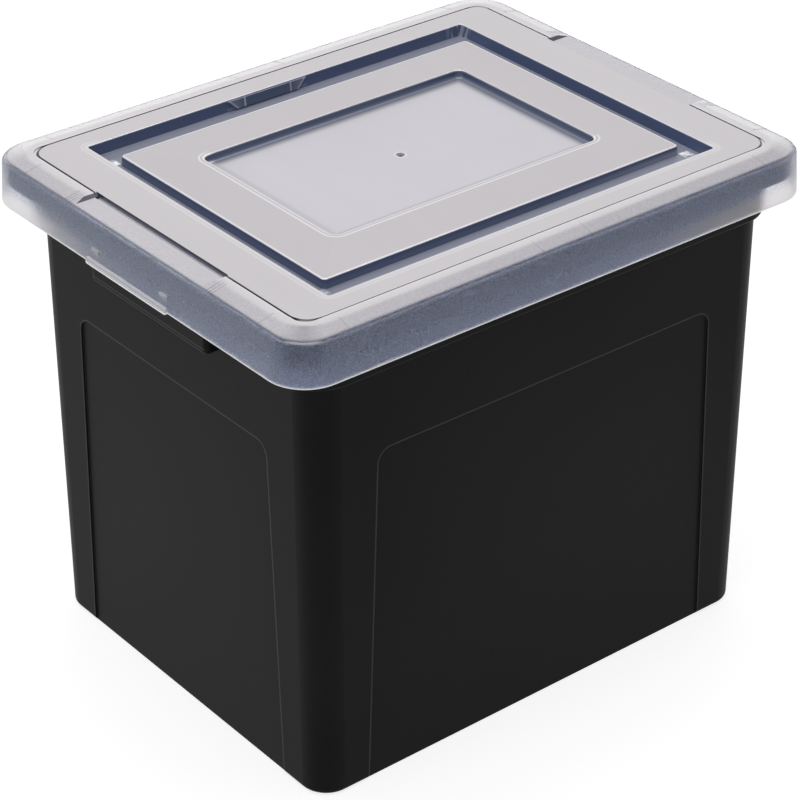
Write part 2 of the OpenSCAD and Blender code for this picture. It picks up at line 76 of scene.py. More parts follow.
class Graph:
    """A node tree under construction, with one method that adds any node."""

    def __init__(self, tree: bpy.types.NodeTree) -> None:
        """Empties a node tree and keeps it.

        Args:
            tree: The material's or the world's node tree.
        """
        self.tree = tree
        tree.nodes.clear()

    def node(
        self,
        kind: Kind,
        settings: dict[str, Any] | None = None,
        inputs: dict[str | int, Any] | None = None,
    ) -> bpy.types.Node:
        """Adds a node.

        Args:
            kind: The node's type.
            settings: The node's own settings, such as a Math node's operation.
            inputs: Values or links for its sockets, by name or number.

        Returns:
            The new node.
        """
        made = self.tree.nodes.new(kind.value)
        for name, value in (settings or {}).items():
            setattr(made, name, value)
        for name, value in (inputs or {}).items():
            self.feed(made.inputs[name], value)
        return made

    def feed(self, socket: bpy.types.NodeSocket, value: Any) -> None:
        """Links or sets one socket.

        Args:
            socket: The input that receives the value.
            value: A Wire, an output socket, a number or a tuple.
        """
        if isinstance(value, Wire):
            value = value.out
        if isinstance(value, bpy.types.NodeSocket):
            self.tree.links.new(value, socket)
        elif socket.type == "RGBA" and len(value) == 3:
            socket.default_value = (*value, 1.0)
        else:
            socket.default_value = value

    def wire(
        self,
        kind: Kind,
        output: str | int = 0,
        settings: dict[str, Any] | None = None,
        inputs: dict[str | int, Any] | None = None,
    ) -> "Wire":
        """Adds a node and keeps one of its outputs.

        Args:
            kind: The node's type.
            output: The output's name or number.
            settings: The node's own settings.
            inputs: Values or links for its sockets.

        Returns:
            The output as a Wire.
        """
        return Wire(self, self.node(kind, settings, inputs).outputs[output])


@dataclass(frozen=True)
class Wire:
    """A number or a colour flowing between nodes, which Python's operators can work on."""

    graph: Graph
    out: bpy.types.NodeSocket

    def math(self, operation: str, *others: "Wire | Number") -> "Wire":
        """Adds a Math node.

        Args:
            operation: The node's operation.
            others: The numbers that it takes after this one.

        Returns:
            The node's result.
        """
        inputs = dict(enumerate((self, *others)))
        return self.graph.wire(Kind.MATH, 0, {"operation": operation}, inputs)

    def __add__(self, other: "Wire | Number") -> "Wire":
        """Returns self + other."""
        return self.math("ADD", other)

    __radd__ = __add__

    def __sub__(self, other: "Wire | Number") -> "Wire":
        """Returns self - other."""
        return self.math("SUBTRACT", other)

    def __rsub__(self, other: Number) -> "Wire":
        """Returns other - self."""
        return (self * -1.0) + other

    def __mul__(self, other: "Wire | Number") -> "Wire":
        """Returns self * other."""
        return self.math("MULTIPLY", other)

    __rmul__ = __mul__

    def __truediv__(self, other: "Wire | Number") -> "Wire":
        """Returns self / other."""
        return self.math("DIVIDE", other)

    def __rtruediv__(self, other: Number) -> "Wire":
        """Returns other / self."""
        return self.math("POWER", -1.0) * other

    def __abs__(self) -> "Wire":
        """Returns the absolute value."""
        return self.math("ABSOLUTE")

    def either(self, other: "Wire | Number") -> "Wire":
        """Returns the larger of two numbers."""
        return self.math("MAXIMUM", other)

    def both(self, other: "Wire | Number") -> "Wire":
        """Returns the smaller of two numbers."""
        return self.math("MINIMUM", other)

    def sign(self) -> "Wire":
        """Returns 1 above zero and -1 below it."""
        return self.math("SIGN")

    def squared(self) -> "Wire":
        """Returns the square."""
        return self * self

    def hypot(self, other: "Wire") -> "Wire":
        """Returns the distance that two distances square to each other make."""
        return (self.squared() + other.squared()).math("SQRT")

    def step(self, low: float, high: float) -> "Wire":
        """Returns a smooth step.

        Args:
            low: The value that gives 0.
            high: The value that gives 1; it may lie below low.

        Returns:
            A number from 0 to 1.
        """
        turned = low > high
        first, last = (high, low) if turned else (low, high)
        return self.graph.wire(
            Kind.MAP_RANGE,
            0,
            {"interpolation_type": "SMOOTHSTEP", "clamp": True},
            {
                "Value": self,
                "From Min": first,
                "From Max": last,
                "To Min": 1.0 if turned else 0.0,
                "To Max": 0.0 if turned else 1.0,
            },
        )

    def band(self, low: float, high: float, soft: float) -> "Wire":
        """Returns 1 between two values.

        Args:
            low: The band's lower end.
            high: The band's upper end.
            soft: The width over which each end fades out.

        Returns:
            A number from 0 to 1.
        """
        return self.step(low - soft, low) * self.step(high + soft, high)

    def scale(self, colour: "Colour | Wire") -> "Wire":
        """Returns a colour times this number."""
        return self.graph.wire(Kind.VECTOR_MATH, 0, {"operation": "SCALE"}, {0: colour, 3: self})

    def blend(self, dark: "Colour | Wire", light: "Colour | Wire") -> "Wire":
        """Blends two colours by this number.

        Args:
            dark: The colour where it is 0.
            light: The colour where it is 1.

        Returns:
            The colour between them.
        """
        return self.graph.wire(
            Kind.MIX_COLOUR,
            2,
            {"data_type": "RGBA", "clamp_factor": True},
            {0: self, 6: dark, 7: light},
        )


@dataclass(frozen=True)
class Line:
    """A soft line on a surface, across which some distance runs from low to high."""

    low: float
    high: float
    soft: float
    strength: float = 1.0

    def mask(self, distance: Wire) -> Wire:
        """Returns the line's strength where it lies, and 0 elsewhere."""
        return distance.band(self.low, self.high, self.soft) * self.strength


@dataclass(frozen=True)
class Outline:
    """A rounded rectangle round the object's middle, seen from above."""

    length: float
    width: float
    radius: float


class Surface:
    """Places on a piece in millimetres, read from its own Object coordinates."""

    def __init__(self, graph: Graph) -> None:
        """Reads the coordinates and the face's direction.

        Args:
            graph: The material's graph.
        """
        self.graph = graph
        self.point = graph.node(
            Kind.VECTOR_MATH,
            {"operation": "MULTIPLY"},
            {0: graph.node(Kind.COORD).outputs["Object"], 1: (MM, MM, MM)},
        ).outputs[0]
        place = graph.node(Kind.SEPARATE, inputs={0: self.point})
        self.x, self.y, self.z = (Wire(graph, place.outputs[i]) for i in range(3))
        facing = graph.node(Kind.GEOMETRY).outputs["Normal"]
        turned = graph.node(Kind.SEPARATE, inputs={0: facing})
        self.nx, self.ny, self.nz = (Wire(graph, turned.outputs[i]) for i in range(3))

    def noise(
        self, size: float, detail: float = 2.0, rough: float = 0.5, stretch: Colour = (1.0, 1.0, 1.0)
    ) -> Wire:
        """Returns a soft noise from 0 to 1.

        Args:
            size: The blobs' size in millimetres.
            detail: Octaves of finer noise.
            rough: How strong the finer noise is.
            stretch: Factors on the coordinates, below 1 where the noise runs long.

        Returns:
            The noise's value.
        """
        spot = self.graph.node(
            Kind.VECTOR_MATH, {"operation": "MULTIPLY"}, {0: self.point, 1: stretch}
        ).outputs[0]
        return self.graph.wire(
            Kind.NOISE,
            0,
            {"noise_dimensions": "3D"},
            {"Vector": spot, "Scale": 1.0 / size, "Detail": detail, "Roughness": rough},
        )

    def grain(self, size: float, smooth: float = 0.6) -> Wire:
        """Returns the distance field of a pebbled mould grain.

        Args:
            size: The pebbles' size in millimetres.
            smooth: How far neighbouring pebbles run into each other.

        Returns:
            The distance to the nearest pebble's middle.
        """
        return self.graph.wire(
            Kind.VORONOI,
            0,
            {"feature": "SMOOTH_F1"},
            {"Vector": self.point, "Scale": 1.0 / size, "Smoothness": smooth},
        )

    @staticmethod
    def past(across: Wire, along: Wire, radius: float) -> Wire:
        """Returns the distance past a rounded corner.

        Args:
            across: The distance past the corner's centre one way.
            along: The distance past the corner's centre the other way.
            radius: The corner's radius.

        Returns:
            The distance outside the outline, and below zero inside it.
        """
        far = across.either(0.0).hypot(along.either(0.0))
        return far + across.either(along).both(0.0) - radius

    def beyond(self, outline: Outline) -> Wire:
        """Returns how far a place lies outside an outline seen from above.

        Args:
            outline: The outline.

        Returns:
            The distance, below zero inside the outline.
        """
        across = abs(self.x) - (outline.length / 2 - outline.radius)
        along = abs(self.y) - (outline.width / 2 - outline.radius)
        return self.past(across, along, outline.radius)

    def near(self, outline: Outline, reach: Span = (0.90, 0.97)) -> Wire:
        """Tells an outline's two sides towards the front corner from the other two.

        Args:
            outline: The outline.
            reach: The shares of its half length and half width from where a place counts.

        Returns:
            1 along the two sides towards -X and -Y, and 0 along the others.
        """
        left = self.x * (-2.0 / outline.length)
        front = self.y * (-2.0 / outline.width)
        return left.either(front).step(*reach)

    def fronting(self, outline: Outline) -> Wire:
        """Returns how squarely an outline's side there looks towards the front corner.

        Args:
            outline: The outline whose sides are asked for.

        Returns:
            1 on the corner at -X and -Y, and -1 on the opposite one.
        """
        right = (abs(self.x) - (outline.length / 2 - outline.radius)).either(0.0) * self.x.sign()
        back = (abs(self.y) - (outline.width / 2 - outline.radius)).either(0.0) * self.y.sign()
        return (right * FRONT_CORNER[0] + back * FRONT_CORNER[1]) / right.hypot(back)


@dataclass(frozen=True)
class Finish:
    """What every finish shares: a name and a way to become a material."""

    name: str

    def start(self) -> tuple[bpy.types.Material, Graph, Surface]:
        """Makes an empty material.

        Returns:
            The material, its graph and its surface.
        """
        material = bpy.data.materials.new(self.name)
        material.use_nodes = True
        graph = Graph(material.node_tree)
        return material, graph, Surface(graph)


@dataclass(frozen=True)
class Panel:
    """A sunk panel's outline on one pair of walls."""

    foot: float
    top: float
    height: float = 215.8
    radius: float = 8.5

    def beyond(self, across: Wire, high: Wire) -> Wire:
        """Returns how far a place on the wall lies outside the panel.

        Args:
            across: The distance from the wall's middle, on either side.
            high: The height above the base.

        Returns:
            The distance, below zero on the panel.
        """
        half = self.foot - high * ((self.foot - self.top) / self.height)
        return Surface.past(across - half + self.radius, high - (self.height - self.radius), self.radius)


@dataclass(frozen=True)
class BlackMoulding(Finish):
    """Satin black plastic with a fine mould grain, and painted highlights round its panels and along its
    grips.
    """

    short_wall: Panel
    long_wall: Panel
    wall_x: float
    wall_y: float
    grip_foot: float
    deep: Colour = (0.0085, 0.0082, 0.0088)
    worn: Colour = (0.017, 0.0165, 0.0175)
    middle: Colour = (0.0225, 0.022, 0.0235)
    # A painted highlight along the sunk panels' edges and the grips' lower edges.
    edge_highlight: Colour = (0.080, 0.080, 0.085)
    # The mould grain: its pebbles' size, and the depth of its bump and the edges' rounding in metres.
    grain: float = 0.9
    grain_depth: float = 0.00015
    grain_strength: float = 0.22
    edge_radius: float = 0.0008
    pebble_share: float = 0.6
    gloss: float = 0.06
    roughness: float = 0.44
    # The sizes of the cloudy patches and of the specks, and how both move the colour to worn.
    patch_size: float = 110.0
    speck_size: float = 1.1
    patch_share: float = 0.7
    wear: Span = (0.25, 0.8)
    # The painted highlight line round each panel, and how far the leaning wall strays from its foot's
    # plane.
    panel_line: Line = Line(0.0, 0.7, 0.5)
    wall_lean: Line = Line(-2.0, 3.0, 0.2)
    # The grip: how far out its face starts, where its ends are, and its two painted highlight lines above
    # its foot.
    grip_out: Span = (8.0, 9.0)
    grip_end: Span = (53.5, 52.5)
    grip_turn: Span = (0.4, 0.7)
    grip_low: Line = Line(0.4, 1.0, 0.4)
    grip_high: Line = Line(3.0, 3.6, 0.4, 0.7)
    # The paler middle of the walls: its centre, and from where to where it grows to full strength.
    pale_middle_x: float = 20.0
    pale_middle_z: float = 125.0
    pale_middle_rise: Span = (120.0, 15.0)
    pale_middle_long: Span = (150.0, 20.0)
    pale_middle_short: Span = (120.0, 20.0)
    pale_middle_long_share: float = 0.75
    pale_middle_short_share: float = 0.30

    def edges(self, at: Surface) -> Wire:
        """Returns a mask of the thin painted highlights round the sunk panels.

        Args:
            at: The surface's places.

        Returns:
            1 on the lines.
        """
        short = self.panel_line.mask(self.short_wall.beyond(abs(at.y), at.z))
        long = self.panel_line.mask(self.long_wall.beyond(abs(at.x), at.z))
        on_short = abs(at.nx).step(*SQUARE_ON) * self.wall_lean.mask(abs(at.x) - self.wall_x)
        on_long = abs(at.ny).step(*SQUARE_ON) * self.wall_lean.mask(abs(at.y) - self.wall_y)
        return short * on_short + long * on_long

    def grip(self, at: Surface) -> Wire:
        """Returns a mask of the two thin painted highlights along a grip's lower edge.

        Args:
            at: The surface's places.

        Returns:
            1 on the lower line, and less on the upper one.
        """
        on_grip = (abs(at.x) - self.wall_x).step(*self.grip_out) * abs(at.y).step(*self.grip_end)
        high = at.z - self.grip_foot
        lines = self.grip_low.mask(high).either(self.grip_high.mask(high))
        return on_grip * abs(at.nx).step(*self.grip_turn) * lines

    def pale_middle(self, at: Surface) -> Wire:
        """Returns a mask of the paler middle of each outer wall.

        Args:
            at: The surface's places.

        Returns:
            A number from 0 to the wall's own share.
        """
        rise = abs(at.z - self.pale_middle_z).step(*self.pale_middle_rise)
        spread_x = abs(at.x - self.pale_middle_x).step(*self.pale_middle_long) * self.pale_middle_long_share
        spread_y = abs(at.y).step(*self.pale_middle_short) * self.pale_middle_short_share
        on_long = abs(at.ny).step(*SQUARE_ON) * spread_x
        on_short = abs(at.nx).step(*SQUARE_ON) * spread_y
        return rise * on_long.either(on_short)

    def build(self) -> bpy.types.Material:
        """Makes the material.

        Returns:
            The material.
        """
        material, graph, at = self.start()
        cloud = at.noise(size=self.patch_size, detail=3.0)
        speck = at.noise(size=self.speck_size)
        soft_edge = graph.node(Kind.BEVEL, {"samples": 4}, {"Radius": self.edge_radius})
        bump = graph.wire(
            Kind.BUMP,
            inputs={
                "Strength": self.grain_strength,
                "Distance": self.grain_depth,
                "Height": at.grain(self.grain) * self.pebble_share + speck * (1.0 - self.pebble_share),
                "Normal": soft_edge.outputs[0],
            },
        )
        worn = (cloud * self.patch_share + speck * (1.0 - self.patch_share)).step(*self.wear)
        body = worn.blend(self.deep, self.worn)
        body = self.pale_middle(at).blend(body, self.middle)
        shader = graph.node(
            Kind.BSDF,
            inputs={
                "Base Color": self.edges(at).either(self.grip(at)).blend(body, self.edge_highlight),
                "Roughness": self.roughness + cloud * 0.10 - speck * 0.06,
                "Specular IOR Level": self.gloss,
                "Normal": bump,
            },
        )
        graph.node(Kind.OUTPUT, inputs={"Surface": shader.outputs[0]})
        return material


@dataclass(frozen=True)
class LidSteps:
    """The lid's outlines, levels and latch flaps."""

    flange: Outline = Outline(360.4, 284.4, 19.5)
    deck: Outline = Outline(331.4, 254.9, 12.0)
    trough: Outline = Outline(274.4, 223.0, 1.8)
    plateau: Outline = Outline(253.4, 187.9, 2.5)
    recess: Outline = Outline(189.0, 122.0, 5.0)
    deck_z: float = 306.75
    trough_z: float = 299.4
    flap_z: float = 304.9
    hinge_x: float = 164.1
    flap_half: float = 59.0


@dataclass(frozen=True)
class LidTones:
    """The colours that several marks of the lid share, most of them painted shade and painted highlights.
    """

    # Dark lines: painted shade in the deck's groove, and the gate mark's spot.
    line: Colour = (0.10, 0.10, 0.12)
    # Near-black painted shade in the groove on the -X side and on the latch flaps' walls and ends.
    deep_shade: Colour = (0.034, 0.036, 0.058)
    # Painted highlights along edges, glints, the skirt's foot and crease, and the pale ring round the
    # gate mark.
    light: Colour = (0.88, 0.87, 0.89)
    # Painted light on the tabs, the catch nubs and the floor of the flaps' groove.
    lip: Colour = (0.82, 0.81, 0.83)
    strip: Colour = (0.75, 0.72, 0.745)


@dataclass(frozen=True)
class LidMark:
    """What all looks of the lid share.  In them, a Span holds the values that give 0 and 1."""

    steps: LidSteps = LidSteps()
    shared_tones: LidTones = LidTones()


@dataclass(frozen=True)
class LevelFaces(LidMark):
    """The frosted colours of the faces that lie level, with painted shade in the trough and under the
    recess's far walls, and the slope painted lit and shaded.
    """

    dish: Colour = (0.635, 0.62, 0.665)
    shade: Colour = (0.10, 0.12, 0.18)
    shelf: Colour = (0.578, 0.550, 0.574)
    # Painted shade on the trough's floor.
    channel: Colour = (0.275, 0.288, 0.36)
    frost: Colour = (0.63, 0.603, 0.626)
    # The slope painted shaded towards the front corner and lit on the far sides.
    slope_near: Colour = (0.385, 0.362, 0.415)
    slope_far: Colour = (0.93, 0.91, 0.925)
    slope_power: float = 0.58
    flap: Colour = (0.64, 0.62, 0.66)
    # Where each colour sets in, past its step's outline, or above the trough's floor.
    to_dish: Span = (0.0, -1.0)
    to_shelf: Span = (0.5, 0.0)
    to_channel: Span = (2.0, 0.6)
    to_strip: Span = (0.2, 0.6)
    to_slope: Span = (4.5, 8.0)
    to_flap: Span = (2.0, 4.0)
    flap_soft: float = 0.4
    # The shade under the recess's far walls.
    shade_fade: Span = (-10.0, -0.5)
    shade_edge: Span = (0.0, -0.3)
    shade_strength: float = 0.95
    # How far the mottling and the slope's frosting move the brightness.
    mottling: float = 0.07
    frosting: float = 0.11

    def mottle(self, at: Surface) -> Wire:
        """Returns the faint cloudiness of the frosted faces.

        Args:
            at: The surface's places.

        Returns:
            A number from 0 to 1.
        """
        broad = at.noise(size=140.0, detail=3.0, rough=0.55)
        drawn = at.noise(size=16.0, detail=3.0, rough=0.6, stretch=(1.0, 0.12, 1.0))
        return (broad * 0.5 + drawn * 0.3 + at.noise(size=0.9, detail=1.0) * 0.2).step(0.2, 0.85)

    def colour(self, at: Surface) -> Wire:
        """Returns the colour, step by step from the middle outwards.

        Args:
            at: The surface's places.

        Returns:
            The colour.
        """
        s = self.steps
        recess = at.beyond(s.recess)
        outer = at.beyond(s.deck)
        colour = at.beyond(s.plateau).step(*self.to_shelf).blend(self.frost, self.shelf)
        colour = recess.step(*self.to_dish).blend(colour, self.dish)
        shade = recess.step(*self.shade_fade) * recess.step(*self.shade_edge) * (1.0 - at.near(s.recess))
        colour = (shade * self.shade_strength).blend(colour, self.shade)
        # The trough's floor in painted shade.
        colour = (at.z - s.trough_z).step(*self.to_channel).blend(colour, self.channel)
        colour = outer.step(*self.to_strip).blend(colour, self.shared_tones.strip)
        on_slope = outer.step(*self.to_slope)
        # Painted light and shade on the slope, by how squarely it looks towards the front corner.
        turn = (0.5 - at.fronting(s.flange) * 0.5).either(0.0).math("POWER", self.slope_power)
        colour = on_slope.blend(colour, turn.blend(self.slope_near, self.slope_far))
        on_flap = (abs(at.x) - s.hinge_x).step(*self.to_flap)
        on_flap = on_flap * abs(at.y).step(s.flap_half + self.flap_soft, s.flap_half)
        colour = on_flap.blend(colour, self.flap)
        frosting = (at.noise(size=1.5, detail=1.0).step(0.3, 0.7) - 0.5) * on_slope * self.frosting
        return ((self.mottle(at) - 0.5) * self.mottling + frosting + 1.0).scale(colour)


@dataclass(frozen=True)
class UprightFaces(LidMark):
    """The colours of the steps' walls, dark as painted shade, and of what stands up past the deck, with
    painted light.
    """

    # Painted shade: the clear walls dark navy, where the dark tub inside shows in them.
    wall: Colour = (0.108, 0.140, 0.255)
    dish_wall: Colour = (0.078, 0.104, 0.188)
    # Painted light at the plateau walls' feet and in streaks at the back corner.
    fan: Colour = (0.36, 0.39, 0.49)
    # A painted highlight on the slope's ribs and all else that stands up past the deck.
    rib: Colour = (0.72, 0.70, 0.74)
    to_dish: Span = (3.0, 1.0)
    to_rib: Span = (0.8, 1.6)
    # The painted light streaks at the back corner, by X plus Y, and the share of the noise that they
    # take.
    streak_corner: Span = (234.0, 243.0)
    streak_share: Span = (0.42, 0.58)
    # The painted light at the foot of the plateau's walls, brightest on the front one towards +X.
    foot_z: Span = (304.0, 301.0)
    foot_line: Line = Line(-1.5, 1.0, 0.3)
    foot_x: Span = (20.0, 130.0)
    foot_y: Span = (-80.0, -90.0)
    foot_least: float = 0.20
    foot_gain: float = 0.65

    def colour(self, at: Surface) -> Wire:
        """Returns the colour.

        Args:
            at: The surface's places.

        Returns:
            The colour: painted shade on the steps' walls and a painted highlight past the deck.
        """
        s = self.steps
        streak = at.noise(size=2.2, detail=1.0, stretch=(1.0, 1.0, 0.1)).step(*self.streak_share)
        streak = streak * (at.x + at.y).step(*self.streak_corner)
        foot = at.z.step(*self.foot_z) * self.foot_line.mask(at.beyond(s.plateau))
        gain = at.x.step(*self.foot_x) * at.y.step(*self.foot_y) * self.foot_gain
        pale = (foot * (gain + self.foot_least)).either(streak)
        colour = at.beyond(s.recess).step(*self.to_dish).blend(self.wall, self.dish_wall)
        return at.beyond(s.deck).step(*self.to_rib).blend(pale.blend(colour, self.fan), self.rib)


@dataclass(frozen=True)
class StepLines(LidMark):
    """The painted highlights and painted shade along the steps' edges, each past the outline that it
    follows.
    """

    # Painted shade in the deck's groove, and near-black painted shade along it on the -X side.
    groove: Line = Line(-0.45, 0.45, 0.15)
    groove_z: Span = (306.5, 306.2)
    shaded_groove: Line = Line(-0.7, 0.45, 0.3)
    shaded_groove_x: Span = (-150.0, -160.0)
    shaded_groove_z: Span = (305.0, 305.4)
    shaded_groove_from_flap: Span = (0.0, 6.0)
    # At the front corner the groove's painted shade is blended half-way to the strip's tone.
    crescent: Line = Line(-0.9, 0.9, 0.3, 0.5)
    crescent_corner: Span = (0.88, 1.0)
    # Painted highlights, on faces that turn up, along the trough's rim, the plateau's edge and the
    # recess's edge.
    top: Span = (0.3, 0.6)
    rim_edge: Line = Line(-0.6, 0.5, 0.4, 0.35)
    rim_first: Line = Line(0.2, 2.0, 0.6, 0.38)
    rim_second: Line = Line(3.3, 4.3, 0.6, 0.28)
    rim_z: Span = (305.5, 306.0)
    shelf_edge: Line = Line(-1.1, 0.2, 0.4, 0.65)
    shelf_z: Line = Line(303.8, 305.4, 0.2)
    dish_edge: Line = Line(-0.2, 0.9, 0.5)
    dish_second: Line = Line(2.8, 3.5, 0.5, 0.65)
    far_share: float = 0.15

    def draw(self, at: Surface, colour: Wire) -> Wire:
        """Draws the lines.

        Args:
            at: The surface's places.
            colour: The colour under the lines.

        Returns:
            The colour with the lines.
        """
        s = self.steps
        groove = at.beyond(s.deck)
        # Painted shade in the groove.
        colour = (self.groove.mask(groove) * at.z.step(*self.groove_z)).blend(colour, self.shared_tones.line)
        shaded_groove = self.shaded_groove.mask(groove) * at.x.step(*self.shaded_groove_x) * at.z.step(*self.shaded_groove_z)
        shaded_groove = shaded_groove * (abs(at.y) - s.flap_half).step(*self.shaded_groove_from_flap)
        colour = shaded_groove.blend(colour, self.shared_tones.deep_shade)
        crescent = self.crescent.mask(groove) * at.fronting(s.deck).step(*self.crescent_corner)
        colour = crescent.blend(colour, self.shared_tones.strip)
        # Painted highlights along the steps' top edges.
        trough = at.beyond(s.trough)
        near_rim = at.near(s.trough)
        rim = self.rim_edge.mask(trough).either(self.rim_first.mask(trough) * near_rim)
        rim = rim.either(self.rim_second.mask(trough) * near_rim) * at.z.step(*self.rim_z)
        shelf = self.shelf_edge.mask(at.beyond(s.plateau)) * self.shelf_z.mask(at.z)
        recess = at.beyond(s.recess)
        near_dish = at.near(s.recess)
        dish = self.dish_edge.mask(recess) * (near_dish * (1.0 - self.far_share) + self.far_share)
        dish = dish.either(self.dish_second.mask(recess) * near_dish)
        light = rim.either(shelf).either(dish) * at.nz.step(*self.top)
        return light.blend(colour, self.shared_tones.light)


@dataclass(frozen=True)
class CornerGlints(LidMark):
    """The bright broken spots in the trough at the plateau's corners."""

    # How far past both of the plateau's sides a spot starts, and how far out it fades.
    start: Span = (-0.8, 0.8)
    fade: Span = (8.0, 4.0)
    above_floor: Span = (1.6, 0.6)
    broken: Span = (0.40, 0.56)
    whole_share: float = 0.25
    # X times Y, which is below zero at the left and right corners, where the spots are brighter.
    corners: Span = (500.0, -500.0)
    strength: float = 0.45
    corner_gain: float = 0.5

    def mask(self, at: Surface) -> Wire:
        """Returns a mask of the spots.

        Args:
            at: The surface's places.

        Returns:
            A number from 0 to just under 1.
        """
        s = self.steps
        across = abs(at.x) - s.plateau.length / 2
        along = abs(at.y) - s.plateau.width / 2
        spot = across.both(along).step(*self.start) * across.either(along).step(*self.fade)
        broken = at.noise(size=2.4).step(*self.broken) * (1.0 - self.whole_share) + self.whole_share
        strength = (at.x * at.y).step(*self.corners) * self.corner_gain + self.strength
        return spot * broken * (at.z - s.trough_z).step(*self.above_floor) * strength

    def draw(self, at: Surface, colour: Wire) -> Wire:
        """Returns a colour with the spots on it."""
        return self.mask(at).blend(colour, self.shared_tones.light)


@dataclass(frozen=True)
class TroughPads(LidMark):
    """The pads on the trough's long walls, with their ribs and their slanting ends."""

    pad: Colour = (0.115, 0.150, 0.235)
    pad_end: Colour = (0.23, 0.27, 0.37)
    half: float = 28.5
    off_middle: float = 11.5
    on_wall: Line = Line(-2.6, -0.75, 0.1)
    above_floor: Span = (0.8, 1.1)
    end_soft: float = 1.0
    paler: Span = (14.0, 26.0)
    paler_share: float = 0.8
    # Where the pads' painted highlight lines lie: along each rib, and along each slanting side.
    rib_at: float = 16.5
    rib: Line = Line(-0.3, 0.7, 0.2)
    rib_below_deck: Span = (0.6, 1.0)
    side_lean: float = 1.03
    side: Line = Line(-1.0, -0.1, 0.3, 0.8)
    line_share: float = 0.5

    def draw(self, at: Surface, colour: Wire) -> Wire:
        """Draws the pads.

        Args:
            at: The surface's places.
            colour: The colour under the pads.

        Returns:
            The colour with the pads.
        """
        s = self.steps
        along = abs(at.x + at.y.sign() * self.off_middle)
        under_deck = s.deck_z - at.z
        on_pad = self.on_wall.mask(abs(at.y) - s.trough.width / 2)
        on_pad = on_pad * (at.z - s.trough_z).step(*self.above_floor)
        on_pad = on_pad * along.step(self.half + self.end_soft, self.half)
        paint = (along.step(*self.paler) * self.paler_share).blend(self.pad, self.pad_end)
        ribs = self.rib.mask(along - self.rib_at) * under_deck.step(*self.rib_below_deck)
        side = self.side.mask(along + under_deck * self.side_lean - self.half)
        colour = on_pad.blend(colour, paint)
        # Painted highlights along the ribs and the slanting sides.
        return (on_pad * ribs.either(side) * self.line_share).blend(colour, self.shared_tones.light)


@dataclass(frozen=True)
class LatchFlaps(LidMark):
    """The bending groove and the cut ends of the two latch flaps, in painted light and painted shade."""

    # Painted shade on the groove's outer wall, near-black towards its top.
    wall: Colour = (0.17, 0.18, 0.25)
    # The groove: from the hinge outwards, under the deck, and past the flap's half width.
    from_hinge: Span = (-0.3, -0.1)
    under_deck: Span = (306.6, 306.3)
    past_flap: Span = (3.6, 3.2)
    under_flap: Span = (-0.2, -0.6)
    wall_out: Span = (1.0, 0.5)
    wall_turn: Span = (0.6, 0.9)
    wall_top: Span = (304.7, 305.2)
    end_turn: Span = (-0.3, -0.6)

    def draw(self, at: Surface, colour: Wire) -> Wire:
        """Draws the groove and the ends.

        Args:
            at: The surface's places.
            colour: The colour under them.

        Returns:
            The colour with the groove and the ends.
        """
        s = self.steps
        out = abs(at.x) - s.hinge_x
        zone = out.step(*self.from_hinge) * at.z.step(*self.under_deck)
        zone = zone * (abs(at.y) - s.flap_half).step(*self.past_flap)
        bottom = zone * (at.z - s.flap_z).step(*self.under_flap)
        wall = zone * abs(at.nx).step(*self.wall_turn) * out.step(*self.wall_out)
        end = zone * at.ny.step(*self.end_turn)
        # A painted highlight on the groove's floor, and painted shade on its wall and on the flaps' cut
        # ends.
        colour = bottom.blend(colour, self.shared_tones.lip)
        colour = wall.blend(colour, at.z.step(*self.wall_top).blend(self.wall, self.shared_tones.deep_shade))
        return end.blend(colour, self.shared_tones.deep_shade)


@dataclass(frozen=True)
class GateMark(LidMark):
    """The small mark that the moulding gate left in the middle of the lid."""

    ring: Line = Line(2.6, 3.4, 1.0, 0.4)
    spot: Span = (2.4, 1.6)
    spot_share: float = 0.8

    def draw(self, at: Surface, colour: Wire) -> Wire:
        """Draws the mark.

        Args:
            at: The surface's places.
            colour: The colour under the mark.

        Returns:
            The colour with the mark.
        """
        far = at.x.hypot(at.y)
        colour = self.ring.mask(far).blend(colour, self.shared_tones.light)
        return (far.step(*self.spot) * self.spot_share).blend(colour, self.shared_tones.line)


